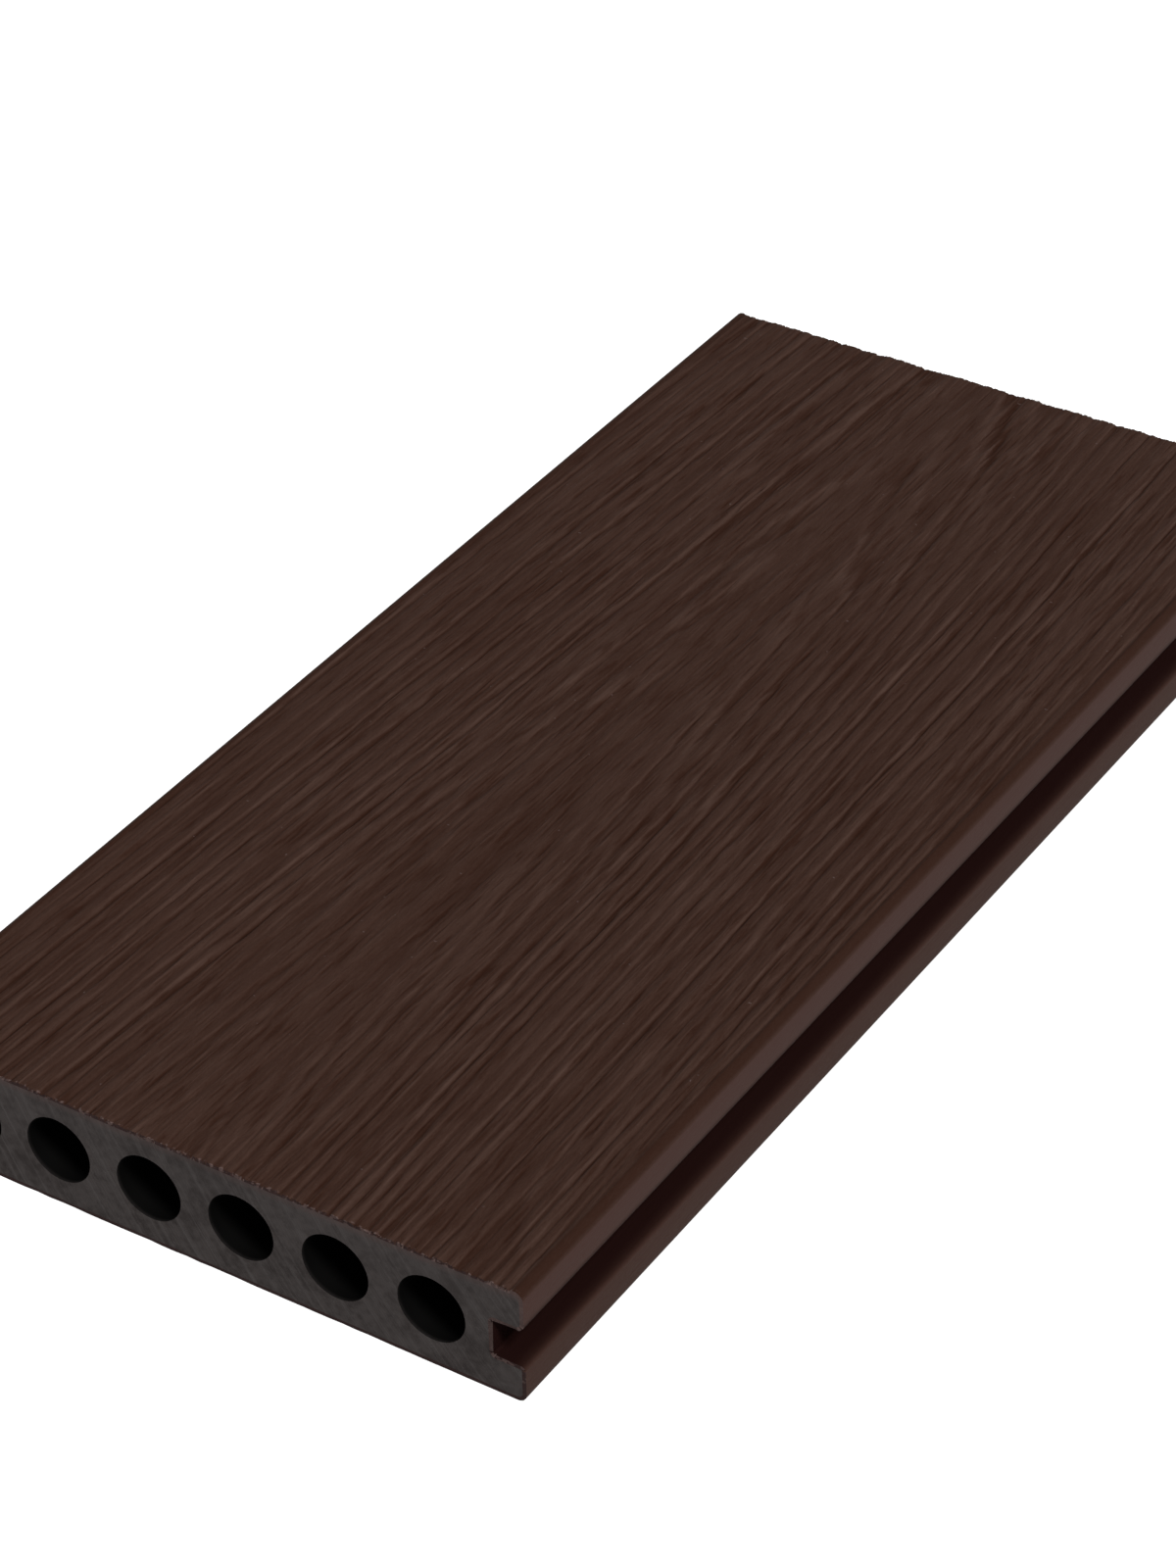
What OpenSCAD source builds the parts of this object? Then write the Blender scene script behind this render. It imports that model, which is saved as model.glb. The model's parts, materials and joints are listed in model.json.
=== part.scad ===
// Grooved hollow decking board, co-extruded from a grey wood-plastic core and a thin brown cap.
// The board lies on its underside with its length along Y, its width along X and the grain side up.
// The origin is in the middle of the underside. All sizes are in millimetres.

/* [Board] */
// Width across the two grooved edges
board_w = 140; // [125:1:200]
// Thickness from the underside to the crests of the grain
board_t = 25; // [23:0.5:32]
// Length between the two sawn ends
board_l = 300; // [100:10:4000]
// Rounding of the two long top edges
top_edge_r = 1.8; // [1:0.1:3]
// Rounding of the two long bottom edges
bottom_edge_r = 2; // [1:0.1:3]

/* [Cap] */
// Thickness of the brown cap that wraps the whole section
cap_t = 0.8; // [0.4:0.1:1.5]

/* [Bores] */
// Number of round bores side by side
bore_count = 6; // [2:1:7]
// Diameter of each bore
bore_d = 14.2; // [8:0.1:15]
// Material left below the bores, cap included
bore_floor_t = 5.7; // [4:0.1:7]
// Material left between the outermost bore and the groove, cap included
bore_side_t = 5.55; // [4:0.05:8]

/* [Side grooves] */
// Depth of the clip groove, inwards from the board's edge
groove_depth = 6.6; // [4:0.1:9]
// Height of the groove between its two lips
groove_h = 7.9; // [5:0.1:9]
// Thickness of the lip below the groove
lower_lip_t = 8.3; // [6:0.1:9]
// Rounding of the upper lip's nose, where it faces down into the groove
upper_nose_r = 1.8; // [1:0.1:2.5]
// Rounding of the lower lip's nose, where it faces up into the groove
lower_nose_r = 1; // [0.5:0.1:2]
// Fillet in the groove's two inner corners
groove_fillet_r = 0.6; // [0.3:0.1:1.5]

/* [Hidden] */
$fn = 96;
// Overrun of every cut past the face that it opens
overrun = 1;
// The outermost bores stand beside the grooves, and the others share the width between them evenly
bore_span = board_w - 2 * (groove_depth + bore_side_t) - bore_d;
bore_pitch = bore_span / (bore_count - 1);
bore_z = bore_floor_t + bore_d / 2;

// What a rounding of radius r cuts from a square corner. The corner is at the origin and points to +X +Y.
// A rounding that the cap's thickness has used up leaves the corner sharp.
module corner_waste(r) {
    if (r > 0)
        translate([-r, -r])
            difference() {
                square(r + overrun);
                circle(r);
            }
}

// The groove in the right-hand edge, grown by inset on its three closed sides.
// Its inner corners are filleted and its mouth is flared by the rounded noses of both lips.
module groove_section(inset) {
    mouth_x = board_w / 2 - inset;
    wall_x = board_w / 2 - groove_depth - inset;
    floor_z = lower_lip_t - inset;
    roof_z = lower_lip_t + groove_h + inset;
    difference() {
        translate([wall_x, floor_z])
            square([mouth_x - wall_x + overrun, roof_z - floor_z]);
        translate([wall_x, roof_z])
            mirror([1, 0])
                corner_waste(groove_fillet_r + inset);
        translate([wall_x, floor_z])
            mirror([1, 0])
                mirror([0, 1])
                    corner_waste(groove_fillet_r + inset);
    }
    translate([mouth_x, roof_z])
        mirror([0, 1])
            corner_waste(upper_nose_r - inset);
    translate([mouth_x, floor_z])
        corner_waste(lower_nose_r - inset);
}

// The board's section without its bores, moved inwards by inset all round.
module board_section(inset) {
    half_w = board_w / 2 - inset;
    difference() {
        translate([-half_w, inset])
            square([2 * half_w, board_t - 2 * inset]);
        for (side = [0, 1])
            mirror([side, 0]) {
                translate([half_w, board_t - inset])
                    corner_waste(top_edge_r - inset);
                translate([half_w, inset])
                    mirror([0, 1])
                        corner_waste(bottom_edge_r - inset);
                groove_section(inset);
            }
    }
}

// Carries a section drawn in X and Z along the board.
module along_board(length) {
    rotate([90, 0, 0])
        linear_extrude(height = length, center = true)
            children();
}

module bores() {
    for (i = [0 : bore_count - 1])
        translate([i * bore_pitch - bore_span / 2, 0, bore_z])
            rotate([90, 0, 0])
                cylinder(h = board_l + 2 * overrun, d = bore_d, center = true);
}

// The wood-plastic core that carries the load, bored from end to end.
module grey_core() {
    color([0.24, 0.22, 0.215])
        difference() {
            along_board(board_l)
                board_section(cap_t);
            bores();
        }
}

// The cap, fused to the core all round, down into the grooves and flush with it at the sawn ends.
module brown_cap() {
    color([0.23, 0.16, 0.13])
        difference() {
            along_board(board_l)
                board_section(0);
            along_board(board_l + 2 * overrun)
                board_section(cap_t);
        }
}

grey_core();
brown_cap();
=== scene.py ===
# %% [markdown]
# # A grooved decking board with a wood-grain cap
# The real board is extruded in one go: a grey core of wood flour and plastic, hollow with round
# bores, and a thin brown cap that is melted onto it all round. A heated roller then presses the
# grain into the top. The frame holds the two bodies at their true size. This lesson gives the cap
# its embossed relief and both of them their finishes, and sets up a photographer's white table.

# %% Load the frame
import json
import math

import bpy
import numpy as np
from mathutils import Matrix, Vector


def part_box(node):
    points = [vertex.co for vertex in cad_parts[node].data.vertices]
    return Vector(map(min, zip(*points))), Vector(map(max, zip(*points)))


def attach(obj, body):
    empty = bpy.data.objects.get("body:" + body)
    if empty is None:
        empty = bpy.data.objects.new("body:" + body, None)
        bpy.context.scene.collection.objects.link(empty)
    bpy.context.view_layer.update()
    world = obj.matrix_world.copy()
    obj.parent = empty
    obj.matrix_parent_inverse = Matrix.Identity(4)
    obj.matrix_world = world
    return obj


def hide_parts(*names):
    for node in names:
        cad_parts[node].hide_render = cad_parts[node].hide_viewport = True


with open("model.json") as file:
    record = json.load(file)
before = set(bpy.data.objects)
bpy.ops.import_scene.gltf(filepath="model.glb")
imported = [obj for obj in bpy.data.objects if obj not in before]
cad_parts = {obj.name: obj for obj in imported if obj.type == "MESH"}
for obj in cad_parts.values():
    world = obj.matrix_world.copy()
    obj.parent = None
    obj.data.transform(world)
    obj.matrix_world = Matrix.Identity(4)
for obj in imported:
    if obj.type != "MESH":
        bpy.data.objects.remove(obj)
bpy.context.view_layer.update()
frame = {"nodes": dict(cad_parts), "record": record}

MM = 0.001
low, high = (np.array(corner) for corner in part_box("brown_cap"))
board_w, board_l, board_t = high - low
bores = [mount for mount in frame["record"]["mounts"] if mount["kind"] == "bore"]
print(f"board {board_w / MM:.0f} x {board_l / MM:.0f} x {board_t / MM:.0f} mm, {len(bores)} bores")

# %% [markdown]
# ## The section of the cap
# Seen from the end, the board is a flat slab whose two edges are grooved for hidden clips, and
# every corner is rounded a little by the die. Such a section could be drawn as a curve and
# bevelled, but here it is worked out as numbers, because the top needs hundreds of points across
# and the sides only a few. A list of corners with their radii is enough: each corner becomes an
# arc, and each straight stretch between two arcs gets as many points as it needs. Every point
# keeps its outward normal, so the inside of the cap is the same loop moved in by its thickness.

# %% Corners of the section
cap_t = 0.8 * MM
top_edge_r = 1.8 * MM
bottom_edge_r = 2.0 * MM
groove_depth = 6.6 * MM
groove_h = 7.9 * MM
lower_lip_t = 8.3 * MM
upper_nose_r = 1.8 * MM
lower_nose_r = 1.0 * MM
groove_fillet_r = 0.6 * MM

half_w = board_w / 2
groove_x = half_w - groove_depth
groove_roof = lower_lip_t + groove_h
right_corners = [
    (half_w, 0, bottom_edge_r),
    (half_w, lower_lip_t, lower_nose_r),
    (groove_x, lower_lip_t, groove_fillet_r),
    (groove_x, groove_roof, groove_fillet_r),
    (half_w, groove_roof, upper_nose_r),
    (half_w, board_t, top_edge_r),
]
left_corners = [(-x, z, r) for x, z, r in reversed(right_corners)]
corners = right_corners + left_corners


def rounded_loop(corners, arc_steps, stretch_steps):
    """Walks round the corners. At each one, an arc from the tangent point before it to the one
    after it: centre + r * (cos, sin) of the angle. Then the straight stretch to the next arc, cut
    evenly. Gives the points and their outward normals, the way round that keeps the solid left."""
    places = np.array([(x, z) for x, z, _ in corners])
    radii = np.array([r for _, _, r in corners])
    ahead = np.roll(places, -1, 0) - places
    ahead /= np.linalg.norm(ahead, axis=1)[:, None]
    behind = np.roll(ahead, 1, 0)
    turn = np.sign(behind[:, 0] * ahead[:, 1] - behind[:, 1] * ahead[:, 0])
    outward = np.stack([behind[:, 1], -behind[:, 0]], 1)
    centres = places - (behind - ahead) * radii[:, None]
    start = np.arctan2(outward[:, 1], outward[:, 0])
    points, normals = [], []
    for n, (centre, r, way) in enumerate(zip(centres, radii, turn)):
        angle = start[n] + way * np.linspace(0, math.pi / 2, arc_steps)
        normal = np.stack([np.cos(angle), np.sin(angle)], 1)
        arc = centre + way * r * normal
        nxt = (n + 1) % len(corners)
        heading = np.array([np.cos(start[nxt]), np.sin(start[nxt])])
        goal = centres[nxt] + turn[nxt] * radii[nxt] * heading
        share = np.linspace(0, 1, stretch_steps[n] + 1)[1:-1, None]
        points += [arc, arc[-1] + share * (goal - arc[-1])]
        normals += [normal, np.repeat(normal[-1:], len(share), 0)]
    return np.concatenate(points), np.concatenate(normals)


# %% [markdown]
# Only the stretch along the top is cut finely, with a point about every quarter of a millimetre,
# since that is where the grain goes.

# %% Points round the section
across_step = 0.27 * MM
arc_points = 7
side_cuts = [2, 2, 1, 2, 2]
top_cuts = round((board_w - 2 * top_edge_r) / across_step)
bottom_cuts = 48
stretch_cuts = side_cuts + [top_cuts] + side_cuts + [bottom_cuts]
outer, outward = rounded_loop(corners, arc_points, stretch_cuts)
inner = outer - cap_t * outward
print(f"{len(outer)} points round the section")

# %% [markdown]
# ## The grain
# The roller copies a flat-sawn plank. In such a plank the growth rings of the log, which are
# nested like long bullets, are cut by the saw into a cathedral: arches inside arches in the
# middle, and nearly straight lines towards the edges. So the rings aren't drawn one by one. Each
# place on the board gets the radius of the ring it was cut from, and a groove is pressed wherever
# that radius reaches the end of a year's growth.

# %% Radius of the growth ring
pith_x = -4.0
axis_rows = [0, 60, 129, 200, 240, 300]
axis_drift = [-2, -1, 2, 2, -3, -8]
drift_reach = 22.0
taper, taper_growth, pith_depth = 2.6, 0.0025, 2.0


def ring_radius(x, y):
    """Distance from the pith and radius, both in mm, of the growth ring at x across and y along the
    board, in mm from the sawn end. The square of the radius is the square of the distance from the
    pith, which wanders a little near the middle, plus a part that grows along the board because
    the log tapers."""
    aside = x - pith_x
    aside = aside - np.interp(y, axis_rows, axis_drift) * np.exp(-(aside / drift_reach) ** 2)
    return aside, np.sqrt(aside**2 + taper * y + taper_growth * y**2 + pith_depth**2)


# %% [markdown]
# Between the rings the surface is made of fibres. Ordinary noise stretched along the board shows
# its own lattice, because all its streaks start and stop on the same rows. A bundle of fibres
# doesn't: each fibre has its own run of random values, started at its own place.

# %% A bundle of fibres
bundle, knots = 512, 64
bundles_ahead = 8


def ease(value, low=0.0, high=1.0):
    """0 up to low and 1 from high on, with the smooth step 3t^2 - 2t^3 in between."""
    t = np.clip((value - low) / (high - low), 0, 1)
    return t * t * (3 - 2 * t)


def fibres(x, y, width, length, seed):
    """Values from -1 to 1 that change over `width` across and `length` along, in mm. Fibre i has
    random knots, and its value is eased from knot to knot along y. Across, it is eased from each
    fibre to the next. Some whole bundles are added to the place, so that it is never negative."""
    draw = np.random.default_rng(seed)
    table = draw.uniform(-1, 1, (bundle, knots))
    start = draw.uniform(0, knots, bundle)
    place = x / width + bundle * bundles_ahead
    first = np.floor(place).astype(int)

    def along_fibre(i):
        at = y / length + start[i] + knots
        j = np.floor(at).astype(int)
        t = ease(at - j)
        return table[i, j % knots] * (1 - t) + table[i, (j + 1) % knots] * t

    t = ease(place - first)
    return along_fibre(first % bundle) * (1 - t) + along_fibre((first + 1) % bundle) * t


# %% Fibres of mixed lengths
run_kinds = [(0.35, 0.4, 0), (0.50, 1.0, 100), (0.62, 3.5, 200)]


def runs(x, y, width, length, seed):
    """Three bundles added up, with short, usual and long fibres, so that no length stands out."""
    return sum(
        amount * fibres(x, y, width, stretch * length, seed + shift)
        for amount, stretch, shift in run_kinds
    )


# %% [markdown]
# Where a ring line crosses the fibres at a slant, it doesn't run straight but steps from fibre to
# fibre, which gives the feathered look of the arches. That comes from adding fibre noise to the
# ring radius before looking for the line. A line is a flat-bottomed groove, steep on one wall and
# gentle on the other, and its depth comes and goes along it. Every second line is fainter, as a
# year has an early and a late growth.

# %% Strength of each ring line
line_gap, first_line = 2.65, 2.2
ring_count = 128
faint_strengths, clear_strengths = (0.25, 0.75), (0.6, 0.95)
clearest_lines, clearest_strength = [10, 12, 16, 20], 1.05
draw = np.random.default_rng(5)
line_strength = draw.uniform(*faint_strengths, ring_count)
line_strength[::2] = draw.uniform(*clear_strengths, ring_count // 2)
line_strength[clearest_lines] = clearest_strength

# %% [markdown]
# Every bundle has its width and length in mm and its own seed. The widest ones bend the fibres and
# the lines, the next make a line's depth come and go and calm whole patches, and the narrow ones
# are the fibres that the eye sees.

# %% Bundles of the grain
STRAY_FAR, STRAY_NEAR = (9, 45, 20), (2, 9, 21)
STEP, SLANT, FEATHER = (1.3, 24, 1), (5, 90, 2), (0.6, 6, 3)
DEPTH, HIGHLIT, CALM = (2.6, 70, 4), (2.2, 55, 5), (8, 34, 6)
WIDE, MIDDLE, NARROW = (3.4, 44, 12), (1.7, 28, 9), (0.85, 6, 8)
MISSING, RAISED = (1.0, 22, 50), (0.9, 18, 51)

# %% How far the bundles reach, in mm
far_by, near_by, fan_out = 0.5, 0.08, 0.0006
step_by, slant_by, feather_by = 0.40, 0.9, 0.44
relief_limit = 0.62
line_depth = 0.34
floor_half, floor_more = 0.12, 0.14
wall_reach, wall_more = 0.56, 0.56
side_reach, flank_edge = 4, (1, 11)
heights = {"narrow": 0.10, "plateau": 0.12, "wide": 0.20, "raised": 0.07, "missing": -0.05}

# %% Shares of the grain
# How much each part lightens or darkens the tone: partly the grain's own tone, partly painted shade
# where fibres lie low and painted sheen where they stand up
shades = {"narrow": 0.07, "middle": 0.13, "raised": 0.10, "missing": -0.07}
wide_shade = 0.07
pith_bold, least_bottom, least_highlit, least_calm = 0.25, 0.4, 0.35, 0.45
bottom_edge, highlit_edge, calm_edge = (-0.7, 0.4), (-0.6, 0.5), (-0.6, 0.4)
plateau_edge, single_edge = (-0.30, 0.30), (0.40, 0.85)


def at_least(least, share):
    """From the least value up to 1 as the share goes from 0 to 1."""
    return least + (1 - least) * share


def weighed(parts, amounts):
    """The named parts, each times its amount, added up."""
    return sum(amount * parts[name] for name, amount in amounts.items())


# %% Relief and shade of the grain
def grain(x, y):
    """Height of the grain in mm: ring lines, fibres at three widths, and single long fibres that
    stand up or are missing. Also what the finish needs to draw finer lines between the points: how
    far the fibres stray sideways in mm, the ring coordinate, which is whole on each line, the
    strength of each line's groove, which also sets its painted shade, and of its painted highlight,
    the side of the pith, the liveliness of the fibres, and their tone, partly painted shade where
    they lie low and painted sheen where they stand up."""
    stray = far_by * fibres(x, y, *STRAY_FAR) + near_by * fibres(x, y, *STRAY_NEAR) + fan_out * x * y
    lean = x + stray
    aside, radius = ring_radius(x, y)
    step = step_by * runs(lean, y, *STEP) + slant_by * fibres(lean, y, *SLANT)
    ring = (radius + step + feather_by * runs(lean, y, *FEATHER) - first_line) / line_gap
    off = (ring - np.round(ring)) * line_gap
    side = np.clip(aside / side_reach, -1, 1)
    gentle = 0.5 + 0.5 * side * np.sign(off)
    bold = line_strength[np.clip(np.round(ring).astype(int), 0, ring_count - 1)]
    bold = bold * at_least(pith_bold, ease(np.abs(aside), *flank_edge))
    bottom = bold * at_least(least_bottom, ease(fibres(lean, y, *DEPTH), *bottom_edge))
    highlit = bold * at_least(least_highlit, ease(fibres(lean, y, *HIGHLIT), *highlit_edge))
    floor_edge, wall_edge = floor_half + floor_more * gentle, wall_reach + wall_more * gentle
    line = bottom * (1 - ease(np.abs(off), floor_edge, wall_edge))
    calm = at_least(least_calm, ease(fibres(x, y, *CALM), *calm_edge))
    parts = {"wide": runs(lean, y, *WIDE), "middle": runs(lean, y, *MIDDLE)}
    parts["narrow"] = runs(lean, y, *NARROW)
    parts["missing"] = ease(fibres(lean, y, *MISSING), *single_edge)
    parts["raised"] = ease(fibres(lean, y, *RAISED), *single_edge)
    parts["plateau"] = ease(parts["middle"], *plateau_edge) - 0.5
    shade = calm * weighed(parts, shades) + wide_shade * parts["wide"]
    traits = {"stray": stray, "ring": ring, "bottom": bottom, "highlit": highlit}
    traits.update(side=side, calm=calm, shade=shade)
    return calm * weighed(parts, heights) - line_depth * line, traits


# %% [markdown]
# ## The cap as one surface
# The section is carried along the board in even rows, and the rows on the top are pressed down by
# the grain. The two saw cuts close the surface: at each end the outer loop is joined to the inner
# one by a ring of faces, and one long strip of faces lines the inside.

# %% Carry the section along the board
rows = 152
along = np.linspace(low[1], high[1], rows)
level_percent = 99
grain_fade = 0.7 * MM
straight_up = 0.999
chip_depth, chip_power, under_chips = 0.4 * MM, 3, 0.3


def carry_section():
    """Grid of points: row j is the outer loop at along[j], lowered by the grain where it faces
    straight up. All but the highest hundredth of the grain lies below the plain top, which keeps
    the board's thickness, and the grain fades out before the rounded edges. The saw leaves the
    edges of its two cuts a little chipped, more so on top, so each point of the end rows goes
    inward by a random amount, cubed so that most are small."""
    x = np.tile(outer[:, 0], (rows, 1))
    z = np.tile(outer[:, 1], (rows, 1))
    y = np.repeat(along[:, None], len(outer), 1)
    height, traits = grain(x / MM, (y - low[1]) / MM)
    depth = np.clip(np.percentile(height, level_percent) - height, 0, relief_limit)
    top = ease(half_w - top_edge_r - np.abs(x), 0, grain_fade)
    top = top * (outward[:, 1] > straight_up) * (outer[:, 1] > board_t - cap_t)
    depth = depth * top
    chips = draw.uniform(0, 1, (2, len(outer))) ** chip_power
    chips = chips * np.where(outer[:, 1] > cap_t, 1, under_chips)
    y[[0, -1]] += np.array([[1], [-1]]) * chip_depth * chips
    print(f"grain up to {depth.max():.2f} mm deep, {depth[top > 0].mean():.2f} mm on average")
    traits.update(depth=depth, top=top)
    return np.stack([x, y, z - depth * MM], -1), traits


# %% Make a mesh of the points
sharp_angle = 42


def mesh_from(name, points, faces):
    """A smooth object of these points and faces, with its sharper edges left sharp."""
    mesh = bpy.data.meshes.new(name)
    mesh.from_pydata(points.tolist(), [], faces.tolist())
    mesh.validate()
    mesh.shade_smooth()
    mesh.set_sharp_from_angle(angle=math.radians(sharp_angle))
    piece = bpy.data.objects.new(name, mesh)
    bpy.context.scene.collection.objects.link(piece)
    return piece


def strip(first, second):
    """Four-sided faces between two loops of the same number of points, closed round."""
    return np.stack([first, np.roll(first, -1), np.roll(second, -1), second], 1)


surface, traits = carry_section()
count = len(outer)
loops = np.arange(rows * count).reshape(rows, count)
skin = np.concatenate([strip(loops[j], loops[j + 1]) for j in range(rows - 1)])
lining = np.stack([inner[:, 0], np.zeros(count), inner[:, 1]], 1)
near_lining, far_lining = lining + [0, low[1], 0], lining + [0, high[1], 0]
near_loop = np.arange(count) + rows * count
far_loop = near_loop + count
points = np.concatenate([surface.reshape(-1, 3), near_lining, far_lining])
faces = np.concatenate([
    skin[:, ::-1],
    strip(near_loop, loops[0])[:, ::-1],
    strip(loops[-1], far_loop)[:, ::-1],
    strip(far_loop, near_loop)[:, ::-1],
])
cap = mesh_from("grained_cap", points, faces)
print(f"cap: {len(faces)} faces, {2 * len(faces)} triangles")

# %% [markdown]
# The finish goes on where the mesh is too coarse: it reads the traits of the grain at each place
# and adds the fine lines between them.

# %% Keep the traits of the grain on the mesh
spare = np.zeros(2 * count)
for name, value in traits.items():
    attribute = cap.data.attributes.new("grain_" + name, "FLOAT", "POINT")
    attribute.data.foreach_set("value", np.concatenate([value.ravel(), spare]))

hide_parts("brown_cap")
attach(cap, "root")

# %% [markdown]
# ## Writing materials as sums
# A material is a graph of nodes, and long graphs are hard to read in code. A small class wraps
# one output socket, so that plus, minus and times between such wires add the Math nodes by
# themselves, and one method adds any other node.

# %% Wires and finishes


FIBRE_SPREAD, FIBRE_DETAIL, FIBRE_ROUGHNESS, FIBRE_GAIN = 900, 2.0, 0.85, 3


class Wire:
    """One output socket of a material's graph."""

    def __init__(self, finish, socket):
        self.finish, self.socket = finish, socket

    def maths(self, operation, first, second=0.0):
        return self.finish.maths(operation, first, second)

    def __add__(self, other):
        return self.maths("ADD", self, other)

    def __sub__(self, other):
        return self.maths("SUBTRACT", self, other)

    def __rsub__(self, other):
        return self.maths("SUBTRACT", other, self)

    def __mul__(self, other):
        return self.maths("MULTIPLY", self, other)

    def __truediv__(self, other):
        return self.maths("DIVIDE", self, other)

    def __pow__(self, other):
        return self.maths("POWER", self, other)

    __radd__, __rmul__ = __add__, __mul__

    def larger(self, other):
        return self.maths("MAXIMUM", self, other)

    def size(self):
        return self.maths("ABSOLUTE", self)

    def between(self, low, high):
        """0 below low, 1 above high, eased in between."""
        return self.finish.add(
            "MapRange", {"interpolation_type": "SMOOTHSTEP"},
            {"Value": self, "From Min": low, "From Max": high},
        )


class Finish:
    """The graph of a material, or of the world, under construction."""

    def __init__(self, owner):
        self.owner = owner
        owner.use_nodes = True
        self.tree = owner.node_tree
        self.tree.nodes.clear()

    def add(self, kind, settings, sockets, out=0):
        """Adds a shader node, sets it up, then fills or links its sockets."""
        node = self.tree.nodes.new("ShaderNode" + kind)
        for key, value in settings.items():
            setattr(node, key, value)
        for key, value in sockets.items():
            if isinstance(value, Wire):
                self.tree.links.new(value.socket, node.inputs[key])
            else:
                node.inputs[key].default_value = value
        return Wire(self, node.outputs[out])

    def place(self):
        """Where on the object a point is, in metres."""
        return self.add("TexCoord", {}, {}, "Object")

    def trait(self, name):
        """A value that was kept on the mesh."""
        return self.add("Attribute", {"attribute_name": name}, {}, "Fac")

    def axes(self, place):
        """The three coordinates of a place."""
        split = self.add("SeparateXYZ", {}, {"Vector": place})
        return [Wire(self, split.socket.node.outputs[n]) for n in range(3)]

    def fibres(self, across, along, width, length, start=0.0):
        """The bundle of fibres again, now in nodes: white noise gives fibre i its own place on a
        one-dimensional noise, and the values of two neighbours are eased into each other."""
        place = across / width + start
        first = self.maths("FLOOR", place)

        def along_fibre(i):
            shift = self.add("TexWhiteNoise", {"noise_dimensions": "1D"}, {"W": i})
            return self.add(
                "TexNoise", {"noise_dimensions": "1D"},
                {
                    "W": along / length + shift * FIBRE_SPREAD, "Scale": 1.0,
                    "Detail": FIBRE_DETAIL, "Roughness": FIBRE_ROUGHNESS,
                },
            )

        share = (place - first).between(0, 1)
        mixed = along_fibre(first) * (1 - share) + along_fibre(first + 1) * share
        return (mixed - 0.5) * FIBRE_GAIN

    def maths(self, operation, first, second=0.0):
        return self.add("Math", {"operation": operation}, {0: first, 1: second})

    def noise(self, place, sizes, detail=2.0, roughness=0.5):
        """Noise whose grains have these sizes along the three axes, in mm."""
        sizes = tuple(size * MM for size in sizes)
        shrunk = self.add("VectorMath", {"operation": "DIVIDE"}, {0: place, 1: sizes})
        return self.add("TexNoise", {}, {
            "Vector": shrunk, "Scale": 1.0, "Detail": detail, "Roughness": roughness,
        })

    def blend(self, share, first, second):
        """A colour between two colours."""
        return self.add("Mix", {"data_type": "RGBA"}, {"Factor": share, 6: first, 7: second}, 2)

    def facing_ends(self):
        """1 where the surface faces along the board, at the saw cuts, and 0 along its length."""
        normal = self.add("NewGeometry", {}, {}, "True Normal")
        turned = self.add("VectorTransform", {
            "vector_type": "NORMAL", "convert_from": "WORLD", "convert_to": "OBJECT",
        }, {"Vector": normal})
        return self.axes(turned)[1].size()

    def ray(self, kind):
        """1 for rays of this kind."""
        return self.add("LightPath", {}, {}, kind)

    def looked_at(self):
        """1 for rays that show the surroundings: those of the camera, of gloss and of glass."""
        gloss, glass = self.ray("Is Glossy Ray"), self.ray("Is Transmission Ray")
        return self.ray("Is Camera Ray").larger(gloss).larger(glass)

    def bump(self, height, depth):
        """A normal tilted by the height times the depth."""
        return self.add("Bump", {}, {"Height": height, "Distance": depth, "Strength": 1.0})

    def end(self, wire, output="OutputMaterial"):
        """Leads the last wire to the output, and gives the finished material or world."""
        node = self.tree.nodes.new("ShaderNode" + output)
        self.tree.links.new(wire.socket, node.inputs["Surface"])
        return self.owner

    def close(self, sockets):
        """Ends the graph in one Principled shader."""
        return self.end(self.add("BsdfPrincipled", {}, sockets))


# %% [markdown]
# ## The brown cap
# The cap is a dyed plastic, hard and a little waxy. The press leaves the bottoms of its lines dull,
# and each line gets a dark stripe on its shaded wall as painted shade and a light one on its lit
# wall as a painted highlight. Between the lines run threads and strands that are too fine for the
# mesh, and some of them are torn out as cracks; the brightest threads are lightened as painted
# glints. The tone from valley to ridge is partly the grain's own, partly painted shade where the
# fibres lie low and painted sheen where they stand up, and the rounded top edges are darkened as
# painted shade. The sides and the underside come from the die with faint lines along them. The
# lips are painted lighter where the lamp falls on them, less so at the upper lip's nose and on the
# lower lip, and the deep part of the clip grooves is painted dark as shade and is dull. The saw
# shows the cap's thickness at both ends as a thin dark line, with small pale burrs that also stand
# up on the top. Wax shines weakly and broadly, so it is a faint coat on a base that hardly shines,
# and it is missing where the plastic is torn or sawn.

# %% Colours of the cap
# Valley to ridge: partly the grain's own tone, partly painted shade (valley) and painted sheen
# (ridge)
CAP_VALLEY = (0.0290, 0.0116, 0.0072, 1)
CAP_RIDGE = (0.0750, 0.0430, 0.0330, 1)
# Painted shade for the deep part of the clip grooves
CAP_DEEP_SHADE = (0.0124, 0.0044, 0.0038, 1)
# Painted light on the lips
CAP_LIT_LIP = (0.064, 0.032, 0.026, 1)
CAP_SAWN = (0.045, 0.0270, 0.0255, 1)
CAP_BURR = (0.125, 0.085, 0.078, 1)

# %% Sizes in the cap's finish, in mm
THREADS, STRANDS = (0.30, 19, 11), (0.50, 26, 37)
SPECK, PATCH, DOT, BURR = (0.22, 0.9, 0.22), (22, 60, 22), (0.9, 0.9, 0.9), (0.8, 0.8, 0.8)
thread_h, strand_h, crack_h = 0.05, 0.08, 0.04
cut_h, speck_h, dot_h = 0.07, 0.08, 0.1
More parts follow.
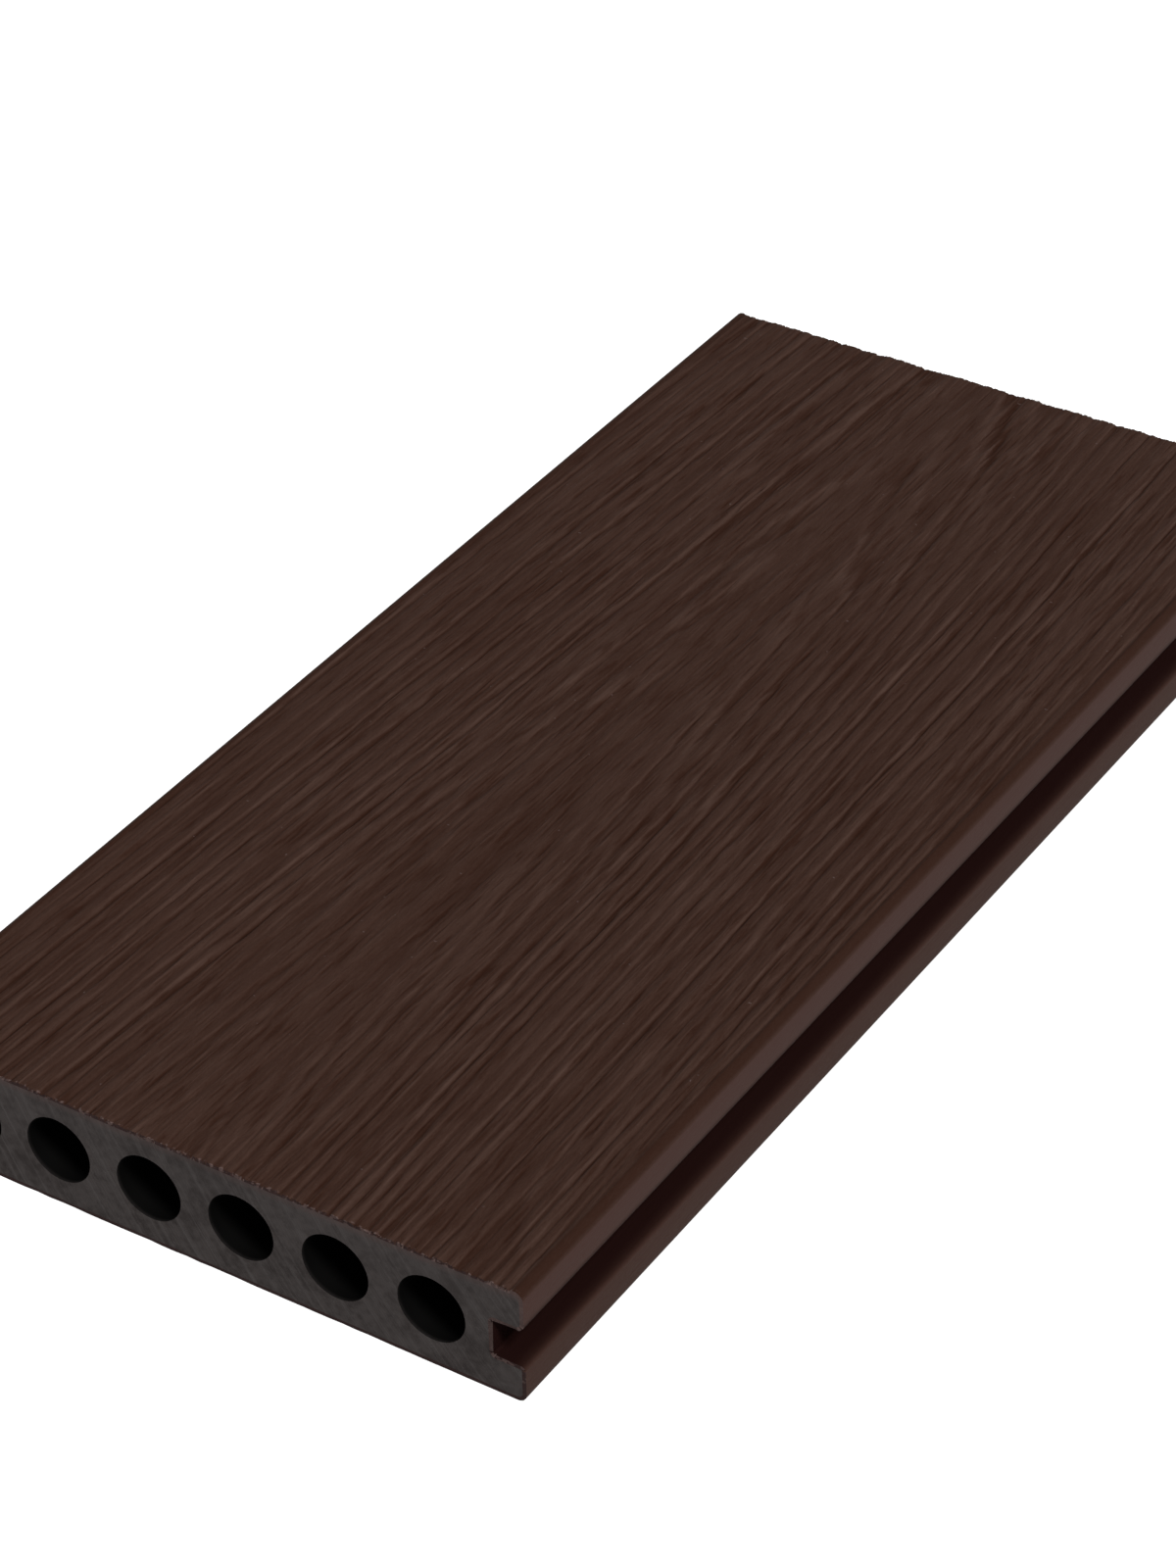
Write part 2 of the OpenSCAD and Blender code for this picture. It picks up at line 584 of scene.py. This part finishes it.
# Where the painted shade and the painted highlight lie beside each ring line, and how wide they are
cut_aside, cut_half_w = 0.30, 0.58
highlight_aside, highlight_half_w = 0.45, 0.55
below_relief = 0.1
under_rise, brow_rise = (1, 3), (23.8, 24.4)
torn_reach, torn_rise = (0.2, 0.7), (20, 22)
lip_in, lip_down, nose_up = (-0.6, -0.1), (1.1, 1.8), (1.2, 2.6)
deep_in, deep_floor, deep_roof = (-3.2, 2.8), (-1.0, 0.0), (-2.4, -1.0)
pale_end_w, pale_end_edge, burr_rise = 8, (0, 1), (1.5, 3.0)

# %% Shares in the cap's finish
side_life, under_life = 0.25, 0.35
thread_tone, strand_tone, glint_tone, crack_tone = 0.14, 0.12, 0.12, 0.15
patch_tone, dim_tone, brow_shade = 0.12, 0.06, 0.28
highlight_tone, cut_shade, speck_tone = 0.28, 0.23, 0.50
tone_edge, crack_edge, glint_edge = (-0.50, 0.85), (0.12, 0.46), (0.20, 0.55)
dot_edge, torn_edge, burr_edge, sawn_edge = (0.87, 0.92), (0.54, 0.64), (0.50, 0.62), (0.6, 0.9)
dot_pale, torn_pale, burr_pale, lower_lip_light = 0.6, 0.8, 0.8, 0.35
wax_most, wax_loss, highlight_wax = 0.07, 0.9, 0.03
plain_rough, cut_rough, deep_rough, highlight_smooth = 0.5, 0.15, 0.2, 0.06
base_gloss, wax_rough = 0.01, 0.5


# %% Cap finish
def cap_finish():
    """The tone goes from valley to ridge with the sum of all that makes the cap darker or lighter,
    painted shade and highlights among it. Then come the burrs and saw cuts with colours of their
    own, the lips painted lighter where the lamp falls on them, and the deep groove painted dark as
    shade."""
    finish = Finish(bpy.data.materials.new("brown_cap_plastic"))
    place = finish.place()
    x, y, z = (part / MM for part in finish.axes(place))
    top, stray, calm = (finish.trait("grain_" + name) for name in ("top", "stray", "calm"))
    bottom, highlit = finish.trait("grain_bottom"), finish.trait("grain_highlit")
    ring, side = finish.trait("grain_ring"), finish.trait("grain_side")
    out = x.size()

    down = (board_t / MM - relief_limit - below_relief - z).larger(0.0)
    across = x + stray * top + finish.maths("SIGN", x) * down
    threads = finish.fibres(across, y, *THREADS)
    strands = finish.fibres(across, y, *STRANDS)
    under = 1 - z.between(*under_rise)
    lively = (0.5 + 0.5 * calm) * (at_least(side_life, top) + under_life * under)

    off = (ring - finish.maths("ROUND", ring)) * line_gap
    # Painted shade: a dark stripe on the shaded wall of each ring line, which is also duller and
    # pressed a little deeper
    cut = (1 - (off - cut_aside * side).size().between(0.0, cut_half_w)) * bottom * top
    # Painted highlight: a light stripe on the lit wall of each ring line, which also has a little
    # more wax and is smoother
    highlight_rim = (1 - (off + highlight_aside * side).size().between(0.0, highlight_half_w)) * highlit * top
    specks = finish.noise(place, SPECK, 2, 0.7) - 0.5
    patches = finish.noise(place, PATCH, 1)
    dots = finish.noise(place, DOT, 0).between(*dot_edge)

    cracks = (0 - strands).between(*crack_edge)
    glints = threads.between(*glint_edge)
    fine = (threads * thread_h + strands * strand_h - cracks * crack_h) * lively
    relief = fine - cut_h * cut + specks * speck_h + dots * dot_h * top
    fine_shade = (threads * thread_tone + strands * strand_tone) * lively
    # The grain's tone, partly painted shade and sheen, plus the fine threads' own tone
    shade = finish.trait("grain_shade") * top + fine_shade
    shade = shade + (glint_tone * glints - crack_tone * cracks) * lively
    # Painted shade on the rounded top edges
    shaded_brow = (1 - top) * z.between(*brow_rise)
    shade = shade + patch_tone * patches - dim_tone - brow_shade * shaded_brow
    shade = shade + highlight_tone * highlight_rim - cut_shade * cut + speck_tone * specks
    tone = finish.blend(shade.between(*tone_edge), CAP_VALLEY, CAP_RIDGE)

    burrs = finish.noise(place, BURR, 1)
    from_cut = board_l / MM / 2 - y.size()
    torn = burrs.between(*torn_edge) * (1 - from_cut.between(*torn_reach)) * z.between(*torn_rise)
    tone = finish.blend((dots * top * dot_pale).larger(torn * torn_pale), tone, CAP_BURR)

    # Painted light: the lips lighter where the lamp falls on them, less so at the upper lip's nose,
    # where painted shade falls, and on the lower lip
    lit_lip = (out - half_w / MM).between(*lip_in) * (board_t / MM - z).between(*lip_down)
    nose = (z - groove_roof / MM).between(*nose_up)
    tone = finish.blend(lit_lip * at_least(lower_lip_light, nose), tone, CAP_LIT_LIP)
    # Painted shade deep in the clip grooves, which are also duller
    shaded_deep = (half_w / MM - out).between(*deep_in) * (z - lower_lip_t / MM).between(*deep_floor)
    shaded_deep = shaded_deep * (groove_roof / MM - z).between(*deep_roof)
    tone = finish.blend(shaded_deep, tone, CAP_DEEP_SHADE)

    sawn = finish.facing_ends().between(*sawn_edge)
    dull = cut.larger(cracks * top).larger(shaded_deep).larger(sawn)
    wax = wax_most * (1 - dull * wax_loss) + highlight_rim * highlight_wax
    pale_end = (out - half_w / MM + pale_end_w).between(*pale_end_edge)
    pale_end = pale_end * (z - lower_lip_t / MM).between(*pale_end_edge)
    burr = burrs.between(*burr_edge) * z.between(*burr_rise) * burr_pale + pale_end * burr_pale
    tone = finish.blend(sawn, tone, finish.blend(burr, CAP_SAWN, CAP_BURR))
    rough = plain_rough + cut_rough * cut + deep_rough * shaded_deep - highlight_smooth * highlight_rim
    return finish.close({
        "Base Color": tone, "Roughness": rough, "Normal": finish.bump(relief, MM),
        "Specular IOR Level": base_gloss, "Coat Weight": wax, "Coat Roughness": wax_rough,
    })


cap.data.materials.append(cap_finish())

# %% [markdown]
# ## The grey core
# The saw leaves the core matt, with the marks of its teeth in long slanted arcs. Each arc is a part
# of a circle round the saw's axle, so the distance from that axle gives them all. The wood flour
# shows as a fine mottle with a few pale chips, and right under the cap the saw has smeared some
# brown over the grey. Inside the bores the core is as the die left it, smooth, and painted nearly
# black as shade, a little less dark at the mouths.

# %% Colours of the core
CORE_GREY = (0.086, 0.0742, 0.0712, 1)
CORE_LIGHT = (0.130, 0.117, 0.114, 1)
CORE_DARK = (0.053, 0.0450, 0.0430, 1)
CORE_SMEAR = (0.128, 0.083, 0.077, 1)
# Painted shade for the bore walls
CORE_BORE_SHADE = (0.0030, 0.0029, 0.0028, 1)

# %% Sizes in the core's finish, in mm
axle_x, axle_z = 216.0, 137.0
MOTTLE, FLOUR, CHIP, CLOUD = (1.6, 1.6, 1.6), (0.3, 0.3, 0.3), (0.7, 0.7, 0.7), (7, 7, 7)
flour_h, arc_h = 0.04, 0.10
arc_wobble, arcs_per_mm = 0.7, 0.5
paler_rise, smear_rise, mouth_depth = (6, 23), (22.4, 24.0), (0.1, 0.9)

# %% Shares in the core's finish
mottle_share, cloud_share = 0.6, 0.4
dark_edge, arc_edge = (0.34, 0.62), (0.46, 0.74)
flour_edge, chip_edge, skin_edge = (0.6, 0.8), (0.80, 0.88), (0.4, 0.8)
flour_pale, chip_pale, paler_by = 0.5, 0.4, 0.12
arc_least, arc_cloud = 0.1, 0.8
smear_least, smear_cloud = 0.15, 0.5
mouth_shade, deeper_shade = 0.90, 0.10
sawn_rough, skin_smooth, core_gloss = 0.8, 0.25, 0.015


# %% Core finish
def core_finish():
    """Mottle and cloud from dark to grey, paler by arcs, flour, chips and height, then the brown
    smear under the cap, and painted shade, nearly black, on the smooth skin wherever the surface
    doesn't face the board's ends."""
    finish = Finish(bpy.data.materials.new("grey_core_composite"))
    place = finish.place()
    x, y, z = (part / MM for part in finish.axes(place))
    mottle = finish.noise(place, MOTTLE, 4, 0.6)
    flour = finish.noise(place, FLOUR, 2)
    chips = finish.noise(place, CHIP, 0)
    cloud = finish.noise(place, CLOUD, 1)
    reach = finish.maths("SQRT", (x - axle_x) ** 2 + (z - axle_z) ** 2)
    arcs = finish.add("TexNoise", {"noise_dimensions": "1D"}, {
        "W": reach + mottle * arc_wobble, "Scale": arcs_per_mm, "Detail": 5.0, "Roughness": 0.75,
    })

    lighter = (mottle * mottle_share + cloud * cloud_share).between(*dark_edge)
    tone = finish.blend(lighter, CORE_DARK, CORE_GREY)
    tone = finish.blend(arcs.between(*arc_edge) * (arc_least + arc_cloud * cloud), tone, CORE_LIGHT)
    pale = flour.between(*flour_edge) * flour_pale + chips.between(*chip_edge) * chip_pale
    tone = finish.blend(pale, tone, CORE_LIGHT)
    tone = finish.blend(z.between(*paler_rise) * paler_by, tone, CORE_LIGHT)
    smear = z.between(*smear_rise) * (smear_least + smear_cloud * cloud)
    tone = finish.blend(smear, tone, CORE_SMEAR)

    inward = (board_l / MM / 2 - y.size()).between(*mouth_depth)
    # Painted shade: the bore walls nearly black, a little less at the mouths; the skin there is also
    # smooth and plain
    skin = 1 - finish.facing_ends().between(*skin_edge)
    tone = finish.blend(skin * (mouth_shade + deeper_shade * inward), tone, CORE_BORE_SHADE)
    relief = (flour * flour_h + arcs * arc_h) * (1 - skin)
    return finish.close({
        "Base Color": tone, "Roughness": sawn_rough - skin_smooth * skin,
        "Normal": finish.bump(relief, MM), "Specular IOR Level": core_gloss,
    })


core = frame["nodes"]["grey_core"]
core.data.materials.clear()
core.data.materials.append(core_finish())

# %% [markdown]
# ## Table, light and camera
# The board lies on a white table in a white room, as for a catalogue. The table keeps the board's
# soft shadow. A broad lamp on the right shows the grain from the side. A weaker one shines level
# along the board from behind, so that the far end can be seen too.
#
# The table and the walls have to look white, but a real white table would throw its light back
# onto the board's sides. So it is white only for the rays that show it, and dull for its light.

# %% Table
WHITE, PAINT, DULL = (1, 1, 1, 1), (0.9, 0.9, 0.9, 1), (0.2, 0.2, 0.2, 1)
table_glow = 0.3
floor_size = 6.0


def table_finish():
    """White and glowing for the rays that show it, dull for all others."""
    finish = Finish(bpy.data.materials.new("white_table"))
    paint = finish.add("BsdfDiffuse", {}, {"Color": PAINT})
    dull = finish.add("BsdfDiffuse", {}, {"Color": DULL})
    glow = finish.add("Emission", {}, {"Color": WHITE, "Strength": table_glow})
    lit = finish.add("AddShader", {}, {0: paint, 1: glow})
    return finish.end(finish.add("MixShader", {}, {0: finish.looked_at(), 1: dull, 2: lit}))


edge = floor_size / 2
floor_points = np.array([(-edge, -edge, 0), (edge, -edge, 0), (edge, edge, 0), (-edge, edge, 0)])
floor = mesh_from("table_top", floor_points, np.array([[0, 1, 2, 3]]))
floor.data.materials.append(table_finish())

# %% Room light
room_level = 0.22
ceiling_from, ceiling_to = math.sin(math.radians(8)), math.sin(math.radians(18))


def room_light():
    """The world as a room. The camera sees it white, and so do gloss and glass up to its ceiling,
    which is dim, as is the light that the room gives."""
    room = Finish(bpy.data.worlds.new("white_room"))
    up = room.axes(room.add("TexCoord", {}, {}, "Generated"))[2]
    wall = 1 - up.between(ceiling_from, ceiling_to)
    white = room.ray("Is Camera Ray").larger(room.looked_at() * wall)
    strength = room_level + white * (1 - room_level)
    light = room.add("Background", {}, {"Color": WHITE, "Strength": strength})
    bpy.context.scene.world = room.end(light, "OutputWorld")


room_light()

# %% Lamps
key_place, key_angle, key_strength = (0.68, -0.38, 1.0), 12, 3.1
fill_place, fill_angle, fill_strength = (0, 1, 0.04), 8, 0.8


def sun(name, place, angle, strength):
    """A far lamp that shines from the direction of the place."""
    light = bpy.data.lights.new(name, "SUN")
    light.angle, light.energy = math.radians(angle), strength
    holder = bpy.data.objects.new(name, light)
    holder.location = place
    holder.rotation_euler = Vector(place).to_track_quat("Z", "Y").to_euler()
    bpy.context.scene.collection.objects.link(holder)


sun("key_lamp", key_place, key_angle, key_strength)
sun("fill_lamp", fill_place, fill_angle, fill_strength)

# %% [markdown]
# The camera stands where the photographer's did: to the right of the near end and above it, with
# a long lens, so that the board's edges hardly converge.

# %% Camera
focal_px, image_h = 4698, 1600
sensor = 36.0
camera_place = Vector((0.4029, -0.6231, 0.5487))
camera_right = Vector((0.8405, 0.5412, -0.0243))
camera_forward = Vector((-0.4507, 0.6737, -0.5857)).normalized()

camera_right = (camera_right - camera_right.project(camera_forward)).normalized()
camera_up = camera_right.cross(camera_forward)
turned = Matrix((camera_right, camera_up, -camera_forward)).transposed()
lens = bpy.data.cameras.new("camera")
lens.lens = focal_px / image_h * sensor
lens.sensor_width = sensor
camera = bpy.data.objects.new("camera", lens)
camera.matrix_world = Matrix.Translation(camera_place) @ turned.to_4x4()
bpy.context.scene.collection.objects.link(camera)
bpy.context.scene.camera = camera
bpy.context.scene.view_settings.view_transform = "Standard"
print(f"lens {lens.lens:.1f} mm")
